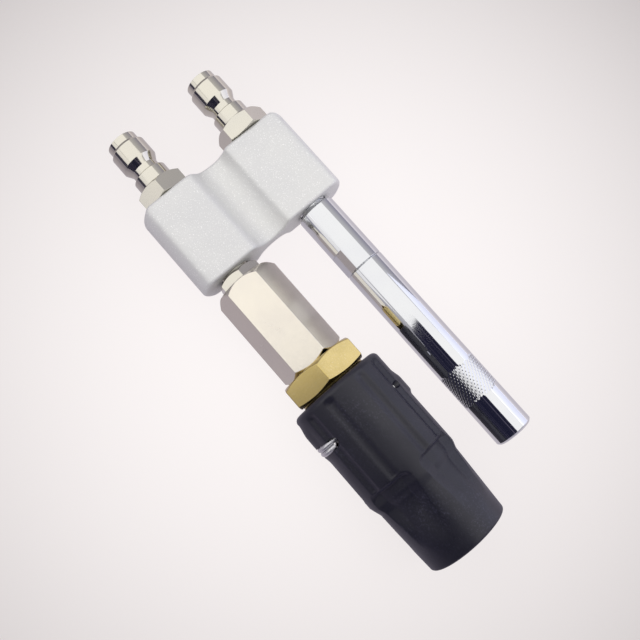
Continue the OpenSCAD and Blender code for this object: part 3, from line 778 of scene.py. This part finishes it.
@dataclass
class GripSleeve:
    """The rubber grip over the turning core, with its flutes and scoops."""

    ridge_r: float = 15.95
    shoulder: tuple[float, float] = (129.6, 133.0)
    shoulder_r: float = 15.1
    end_r: float = 13.95
    mouth_r: float = 10.5
    mouth_chamfer: float = 0.3
    inner_r: float = 13.0
    lip: float = 4.0
    set_back: float = 0.3
    back_round: float = 1.8
    end_round: float = 0.8
    lobes: int = 5
    ridge_turn: float = 1.5
    flute_turn: float = 21.5
    flute_half: float = 8.0
    flute_depth: float = 0.72
    flute_span: tuple[float, float] = (96.6, 125.6)
    flute_rise: float = 2.2
    flute_fall: tuple[float, float] = (-0.6, 1.4)
    scoop_x: float = 125.6
    scoop_wall: float = 1.2
    scoop_depth: float = 1.75
    scoop_half: float = 30.0
    scoop_taper: float = 6.5
    scoop_taper_end: float = 143.0
    scoop_close: tuple[float, float] = (141.0, 150.5)
    scoop_ramp: float = 13.0
    scoop_corner: float = 10.0
    corner_delay: float = 2.6
    scoop_fade: tuple[float, float] = (132.0, 149.0)
    side_delay: tuple[float, float] = (3.6, 2.0)
    side_half: float = 30.0
    boss_half: float = 24.0
    boss_rise: float = 0.72
    boss_spans: tuple[tuple[float, tuple[float, ...]], ...] = (
        (-90.0, (97.0, 101.8, 107.0, 112.0)), (90.0, (102.4, 106.4, 110.6, 112.2)))
    slot_x: tuple[float, float] = (106.0, 109.3)
    slot_y: float = -10.2
    exit_at: tuple[float, float] = (106.9, 8.35)
    exit_r: float = 1.15
    exit_y: tuple[float, float] = (8.0, 20.0)
    cut_reach: tuple[float, float] = (20.0, 18.0)
    sharp: float = 62.0
    stations: int = 176
    columns: int = 360

    def relief(self, x: np.ndarray, turn: np.ndarray) -> np.ndarray:
        """How far the skin stands off its plain turned shape.

        The pattern repeats five times round. With a the angle from the nearest
        wide ridge and b the angle from the nearest scoop's middle, a flute
        sinks by depth (1 - u^2)^2, where u = (a - its middle) / its half width.
        A scoop sinks by its depth times a ramp (w - b) / scoop_ramp, where its
        half width w narrows along x. It has a steep wall at its start, which
        comes later at its corners and at the sleeve's sides, and a slow fade
        at its end. Two bosses rise at the sides.

        Args:
            x: (stations, 1) positions along the axis.
            turn: (1, columns) angles in degrees.

        Returns:
            A (stations, columns) array of heights, negative inwards.
        """
        period = 360.0 / self.lobes
        a = np.abs((turn - self.ridge_turn + period / 2) % period - period / 2)
        b = period / 2 - a
        u = (a - self.flute_turn) / self.flute_half
        valley = np.clip(1.0 - u * u, 0.0, 1.0) ** 2
        start, end = self.flute_span
        fall = smooth(end + self.flute_fall[0], end + self.flute_fall[1], x)
        flute = self.flute_depth * valley * smooth(start, start + self.flute_rise, x)
        flute = flute * (1 - fall)
        half = self.scoop_half - self.scoop_taper * smooth(self.scoop_x, self.scoop_taper_end, x)
        half = half * np.sqrt(np.clip(1 - smooth(*self.scoop_close, x) ** 2, 0.0, 1.0))
        corner = np.clip((b - (self.scoop_half - self.scoop_corner)) / self.scoop_corner, 0, 1)
        begin = self.scoop_x + self.corner_delay * (1 - np.sqrt(1 - corner ** 2 * 0.999))
        for side, delay in zip((-90.0, 90.0), self.side_delay):
            aside = np.abs((turn - side + 180.0) % 360.0 - 180.0)
            begin = begin + delay * smooth(0.0, 1.0, 1.4 - 1.4 * aside / self.side_half)
        wall = np.clip((x - begin) / self.scoop_wall, 0.0, 1.0)
        ramp = np.clip((half - b) / self.scoop_ramp, 0.0, 1.0)
        ramp = ramp * (2 - ramp) * 0.35 + ramp * 0.65
        fade = 1 - smooth(*self.scoop_fade, x)
        scoop = self.scoop_depth * smooth(0.0, 1.0, wall) * ramp * fade
        return self.bosses(x, turn) - flute - scoop

    def bosses(self, x: np.ndarray, turn: np.ndarray) -> np.ndarray:
        """The two low bosses, over the clip at -Y and by the exit hole at +Y."""
        out = np.zeros((x.shape[0], turn.shape[1]))
        for side, (back, top, fall, front) in self.boss_spans:
            off = (turn - side + 180.0) % 360.0 - 180.0
            across = smooth(0.0, 1.0, 1.3 - 1.3 * np.abs(off) / self.boss_half)
            along = smooth(back, top, x) * (1 - smooth(fall, front, x))
            out += self.boss_rise * along * across
        return out

    def profile(self, back: float, front: float) -> tuple[np.ndarray, np.ndarray]:
        """The closed half section, and which of its points carry the relief."""
        r1, r2, c = self.back_round, self.end_round, self.mouth_chamfer
        x = np.linspace(back + r1, front - r2, self.stations)
        plain = self.ridge_r - (self.ridge_r - self.shoulder_r) * smooth(*self.shoulder, x)
        slope = (self.shoulder_r - self.end_r) / (front - r2 - self.shoulder[1])
        skin = np.column_stack([x, plain - slope * np.clip(x - self.shoulder[1], 0.0, None)])
        tail = skin[-1, 1]
        parts = [
            run((back, self.inner_r), (back, self.ridge_r - r1), 5)[:-1],
            arc((back + r1, self.ridge_r - r1), r1, 180.0, 90.0, 9)[:-1],
            skin,
            arc((front - r2, tail - r2), r2, 90.0, 0.0, 9)[1:],
            run((front, tail - r2), (front, self.mouth_r + c), 3)[1:],
            np.array([(front - c, self.mouth_r)]),
            run((front - 2 * c, self.mouth_r), (front - self.lip, self.mouth_r), 4),
            run((front - self.lip, self.inner_r), (back + 1.0, self.inner_r), 12),
        ]
        sizes = [len(p) for p in parts]
        share = np.concatenate([
            np.zeros(sizes[0]), np.linspace(0, 1, sizes[1]), np.ones(sizes[2]),
            np.linspace(1, 0, sizes[3]), np.zeros(sum(sizes[4:]))])
        return np.vstack(parts), share

    def build(self, clothes: Wardrobe) -> None:
        """Builds the grip and cuts the clip's slot and its leg's exit hole."""
        low, high = node_box("grip_cover")
        profile, share = self.profile(low[0], high[0] - self.set_back)
        turns = whole_turn(self.columns)
        rise = self.relief(profile[:, 0:1], np.degrees(turns)[None, :]) * share[:, None]
        grip = shell("rubber_grip", turned_grid(profile, turns, 0.0, rise), True, self.sharp)
        carve(grip, self.slot_cutter(), self.sharp)
        hole = Vector((self.exit_at[0], 0.0, self.exit_at[1]))
        carve(grip, rod("exit", "y", hole, self.exit_r, *self.exit_y, 32), self.sharp)
        clothes.dress(grip, "grip_rubber")
        place(grip, "sleeve", "grip_rubber", "grip_cover")

    def slot_cutter(self) -> bpy.types.Object:
        """A tall bar with a round nose, which cuts the clip's slot."""
        x0, x1 = self.slot_x
        side, top = self.cut_reach
        r = (x1 - x0) / 2
        nose = arc(((x0 + x1) / 2, self.slot_y - r), r, 180.0, 0.0, 15)
        outline = np.vstack([[(x0, -side)], nose, [(x1, -side)]])
        middle = outline.mean(0)
        rows = [np.column_stack([middle + (outline - middle) * s, np.full(len(outline), z)])
                for s, z in ((NEAR_ZERO, -top), (1.0, -top), (1.0, top), (NEAR_ZERO, top))]
        return shell("slot", np.stack(rows), False, welded=True)


@dataclass
class JetLine:
    """The chromed tube: fixed upper length and the knurled turning barrel."""

    tube_r: float = 6.35
    end_chamfer: float = 0.8
    seam_chamfer: float = 0.15
    bore_r: float = 4.7
    throat_r: float = 2.6
    orifice_r: float = 4.0
    orifice_len: float = 7.0
    throat_len: float = 3.0
    recess: float = 0.6
    counterbore: float = 5.0
    mouth_chamfer: float = 0.25
    corner: tuple[float, float] = (0.15, 0.06)
    tube_edge: float = 0.10
    sharp: float = 32.0
    knurl_span: tuple[float, float] = (114.8, 126.4)
    knurl_second: float = 0.35
    knurl_count: int = 36
    knurl_depth: float = 0.20
    knurl_lead: float = 1.75
    columns: int = 432

    def knurl(self, x: np.ndarray, turns: np.ndarray) -> np.ndarray:
        """Depth of the knurl.

        Two crossing families of grooves: with t the angle in teeth and k the
        run in leads, each groove is a triangle wave of t + k or t - k. The skin
        keeps the deeper of a full family and a shallower one. The band's ends
        wander round the tube by a sum of sines.

        Args:
            x: (stations, 1) positions.
            turns: (1, columns) angles in radians.

        Returns:
            A (stations, columns) array, negative inwards.
        """
        teeth = turns * self.knurl_count / FULL_TURN
        leads = (x - self.knurl_span[0]) / self.knurl_lead
        wave = [np.abs(2 * ((teeth + s * leads) % 1.0) - 1) for s in (1.0, -1.0)]
        cut = np.maximum(np.clip(wave[0] * 1.25 - 0.25, 0, 1),
                         self.knurl_second * np.clip(wave[1] * 1.5 - 0.5, 0, 1))
        ragged = 0.35 * np.sin(5 * turns + 0.4) + 0.2 * np.sin(13 * turns + 1.1)
        ragged = ragged + 0.25 * (wave[0] - 0.5)
        start, end = self.knurl_span
        band = smooth(start - 0.1, start + 0.5, x - ragged) * (
            1 - smooth(end - 0.5, end + 0.1, x - ragged * 0.7))
        return -self.knurl_depth * cut * band

    def build(self, clothes: Wardrobe) -> None:
        """Builds the barrel and eases the fixed tube's edges."""
        back, front = (float(corner[0]) for corner in node_box("jet_barrel"))
        line = sum(float(corner[1]) for corner in node_box("jet_orifice")) / 2
        seat = front - self.recess - self.orifice_len
        band = (self.knurl_span[0] - 0.8, self.knurl_span[1] + 0.8)
        c, e, r = self.seam_chamfer, self.end_chamfer, self.tube_r
        inner, throat, mouth = self.bore_r, self.throat_r, self.orifice_r
        run_in, drop = self.corner
        profile = np.vstack([
            [(back, inner), (back, r - c), (back + c, r)],
            run((back + 1.0, r), (band[0], r), 12),
            run((band[0] + 0.12, r), (band[1] - 0.12, r), 106),
            run((band[1], r), (front - e - 0.1, r), 8),
            [(front - e, r), (front - e + run_in, r - drop), (front - drop, r - e + run_in),
             (front, r - e), (front, mouth + self.mouth_chamfer),
             (front - self.mouth_chamfer, mouth)],
            [(seat, mouth), (seat, throat), (seat - self.throat_len, throat),
             (seat - self.throat_len, inner), (back + self.counterbore, inner)],
        ])
        turns = whole_turn(self.columns)
        outside = np.isclose(profile[:, 1], r)[:, None]
        rise = self.knurl(profile[:, 0:1], turns[None, :]) * outside
        barrel = shell("jet_barrel_skin", turned_grid(profile, turns, line, rise), True,
                       self.sharp)
        clothes.dress(barrel, "chrome")
        place(barrel, "barrel", "chrome", "jet_barrel")
        tube = eased_copy("jet_tube_skin", "jet_adaptor", self.tube_edge)
        clothes.dress(tube, "chrome")
        place(tube, "base", "chrome", "jet_adaptor")


@dataclass
class MachinedParts:
    """Plugs, nipple, filter body and stem, with their edges eased.

    Each part has its node, body, finish and the width of its eased edges. On
    the nickel parts the width gives way where edges stand close together.
    """

    parts: dict[str, tuple[str, str, str, float]] = field(default_factory=lambda: {
        "fan_plug_skin": ("fan_inlet_plug", "base", "nickel", 0.14),
        "jet_plug_skin": ("jet_inlet_plug", "base", "nickel", 0.14),
        "nipple_skin": ("outlet_nipple", "base", "nickel", 0.14),
        "filter_skin": ("filter_body", "base", "plated_hexagon", 0.18),
        "stem_skin": ("nozzle_stem", "base", "brass", 0.22),
    })

    def build(self, clothes: Wardrobe) -> None:
        """Makes an eased copy of each part in its own finish."""
        for name, (node, body, finish, width) in self.parts.items():
            piece = eased_copy(name, node, width, clamped=finish == "nickel")
            clothes.dress(piece, finish)
            place(piece, body, finish, node)


@dataclass(frozen=True)
class Lamp:
    """A soft box: where it hangs from the object's middle, in metres, its
    width and height, how bright its face is, and its colour."""

    name: str
    offset: Span
    size: tuple[float, float]
    glow: float
    colour: Colour

    def hang(self, centre: np.ndarray) -> None:
        """Makes the light and turns it to face the object."""
        wide, tall = self.size
        lamp = bpy.data.lights.new(self.name, "AREA")
        lamp.shape, lamp.size, lamp.size_y = "RECTANGLE", wide, tall
        lamp.energy, lamp.color = self.glow * np.pi * wide * tall, self.colour
        rig = bpy.data.objects.new(self.name, lamp)
        rig.location = Vector(centre + np.array(self.offset))
        rig.rotation_euler = (-Vector(self.offset)).to_track_quat("-Z", "Y").to_euler()
        bpy.context.scene.collection.objects.link(rig)


@dataclass
class Studio:
    """Floor, lights, surroundings and camera."""

    camera_at: Span = (26.94, -34.32, 224.84)
    camera_turn: Span = (9.661, -1.91593, 48.81346)
    lens: float = 42.05
    floor_r: float = 2400.0
    floor_start: float = 40.0
    floor_gap: float = 0.4
    floor_thick: float = 8.0
    floor_glow: float = 0.885
    floor_fall: tuple[float, float, float] = (0.02, 0.19, 1.7)
    floor_matt: Colour = (0.16, 0.155, 0.155)
    pale: Colour = (0.955, 0.91, 0.905)
    edge: Colour = (0.36, 0.33, 0.328)
    left_floor: Colour = (0.34, 0.305, 0.36)
    right_floor: Colour = (0.88, 0.82, 0.87)
    floor_turnover: tuple[float, float] = (-0.10, 0.16)
    card_dark: Colour = (0.014, 0.014, 0.034)
    card_streak: Colour = (0.17, 0.15, 0.21)
    room_low: Colour = (0.34, 0.325, 0.40)
    room_high: Colour = (0.66, 0.645, 0.65)
    backdrop: Colour = (0.70, 0.66, 0.66)
    lamps: tuple[Lamp, ...] = (
        Lamp("top_box", (-0.02, -0.01, 0.52), (1.10, 1.09), 0.555, (1.0, 0.985, 0.945)),
        Lamp("left_panel", (-0.45, -0.57, 0.385), (1.00, 0.26), 0.52, (1.0, 0.975, 0.90)),
        Lamp("side_box", (0.18, 0.46, 0.17), (0.44, 0.40), 0.84, (0.80, 0.83, 1.0)),
    )
    cards: tuple[tuple[str, Span, Span], ...] = (
        ("level_card", (91.0, -560.0, 300.0), (620.0, 38.0, 304.0)),
        ("hanging_card", (112.0, -564.0, 20.0), (620.0, -560.0, 300.0)),
        ("far_card", (-760.0, -564.0, 30.0), (-130.0, -560.0, 215.0)),
    )

    def camera(self) -> None:
        """Sets the camera over the object."""
        eye = bpy.data.cameras.new("camera")
        eye.lens, eye.sensor_width = self.lens, 36.0
        eye.clip_start, eye.clip_end = 0.005, 10.0
        view = bpy.data.objects.new("camera", eye)
        view.location = Vector(CENTRE + np.array(self.camera_at) * MM)
        view.rotation_euler = Euler(np.radians(self.camera_turn), "XYZ")
        bpy.context.scene.collection.objects.link(view)
        bpy.context.scene.camera = view

    def floor(self) -> None:
        """Lays a pale round floor that glows a little: a painted pool of light, paler in the
        middle and shaded towards its edge.

        Rays from the object meet a dimmer floor, darker on the left than on
        the right, so that bright metal keeps its darker sides.
        """
        rings = np.concatenate([[0.01], np.geomspace(self.floor_start, self.floor_r, 24)])
        turns = whole_turn(96)
        centre = CENTRE / MM
        z = CAD_BOX[0][2] / MM - self.floor_gap
        x = centre[0] + rings[:, None] * np.cos(turns)
        y = centre[1] + rings[:, None] * np.sin(turns)
        top = np.stack([x, y, np.full_like(x, z)], -1)
        under = top[::-1] - (0.0, 0.0, self.floor_thick)
        ground = shell("floor", np.vstack([top, under]), False, welded=True)
        material = bpy.data.materials.new("pale_floor")
        tree = bare_tree(material)
        place_of = tree.add("TexCoord").outputs["Object"]
        off = tree.feed(tree.add("VectorMath", operation="DISTANCE"), s0=place_of,
                        s1=tuple(np.array((centre[0] - 2, centre[1], z)) * MM))
        # Painted pool of light: the floor's glow fades from pale in the middle to a darker edge.
        near, far, power = self.floor_fall
        fall = tree.maths("POWER", tree.remap(off.outputs["Value"], near, far), power)
        grain = tree.noise(place_of, 900.0, 2.0)
        tone = tree.mix(fall, rgba(self.pale), rgba(self.edge))
        tone = tree.mix(tree.maths("MULTIPLY", grain, 0.03), tone, (1.0, 1.0, 1.0, 1.0))
        glow = tree.feed(tree.add("Emission"), s0=tone, s1=self.floor_glow)
        matt = tree.feed(tree.add("BsdfDiffuse"), s0=rgba(self.floor_matt))
        seen = tree.feed(tree.add("AddShader"), s0=glow.outputs[0], s1=matt.outputs[0])
        # Painted reflection: rays from the object see a floor darker on the left than on the
        # right.
        across = tree.feed(tree.add("SeparateXYZ"), s0=place_of).outputs["Y"]
        side = tree.remap(across, *self.floor_turnover)
        under_metal = tree.mix(side, rgba(self.left_floor), rgba(self.right_floor))
        dim = tree.feed(tree.add("Emission"), s0=under_metal, s1=1.0)
        ray = tree.add("LightPath").outputs["Is Camera Ray"]
        both = tree.feed(tree.add("MixShader"), s0=ray, s1=dim.outputs[0], s2=seen.outputs[0])
        end = tree.add("OutputMaterial")
        tree.feed(end, Surface=both.outputs[0])
        ground.data.materials.append(material)

    def lights(self) -> None:
        """Hangs every lamp round the object's middle."""
        for lamp in self.lamps:
            lamp.hang(CENTRE)

    def dark_cards(self) -> None:
        """Hangs dark cards on the left, which only show in polished metal.

        One lies level above the nozzle's front half and another hangs from
        its far edge. The third stands low on the left, behind the plugs.
        """
        material = bpy.data.materials.new("dark_card")
        tree = bare_tree(material)
        stretch = tree.feed(tree.add("VectorMath", operation="MULTIPLY"),
                            s0=tree.add("TexCoord").outputs["Object"], s1=(0.1, 1.0, 1.0))
        streak = tree.remap(tree.noise(stretch.outputs[0], 26.0, 3.0, 0.6), 0.50, 0.72)
        dark = tree.mix(streak, rgba(self.card_dark), rgba(self.card_streak))
        black = tree.feed(tree.add("Emission"), s0=dark, s1=1.0)
        tree.feed(tree.add("OutputMaterial"), Surface=black.outputs[0])
        for name, low, high in self.cards:
            size = (np.array(high) - low) / 2
            corner = np.array([(-1, -1, -1), (1, -1, -1), (1, 1, -1), (-1, 1, -1)])
            lid = corner * (1, 1, -1)
            shut = (0.001, 0.001, 1.0)
            rows = np.stack([corner * shut, corner, lid, lid * shut])
            card = shell(name, rows * size + (np.array(high) + low) / 2, False, welded=True)
            card.data.materials.append(material)
            card.visible_camera = card.visible_diffuse = card.visible_shadow = False

    def surroundings(self) -> None:
        """Sets a grey room that the metal mirrors, with a pale backdrop."""
        world = bpy.data.worlds.new("room")
        bpy.context.scene.world = world
        tree = bare_tree(world)
        up = tree.feed(tree.add("SeparateXYZ"), s0=tree.add("TexCoord").outputs["Generated"])
        height = tree.remap(up.outputs["Z"], 0.05, 0.75)
        room = tree.mix(height, rgba(self.room_low), rgba(self.room_high))
        ray = tree.add("LightPath").outputs["Is Camera Ray"]
        tone = tree.mix(ray, room, rgba(self.backdrop))
        glow = tree.feed(tree.add("Background"), s0=tone, s1=1.0)
        tree.feed(tree.add("OutputWorld"), Surface=glow.outputs[0])
        bpy.context.scene.view_settings.view_transform = "Standard"

    def build(self) -> None:
        """Sets up the whole studio."""
        self.camera()
        self.floor()
        self.lights()
        self.dark_cards()
        self.surroundings()


def main() -> None:
    """Builds the studio and the object."""
    logging.basicConfig(level=logging.INFO, format="%(name)s: %(message)s")
    Studio().build()
    clothes = Wardrobe()
    clothes.dress_frame()
    for part in (ManifoldBlock(), MachinedParts(), GripSleeve(), JetLine()):
        part.build(clothes)
        log.info("%s is built", type(part).__name__)


if __name__ == "__main__":
    main()
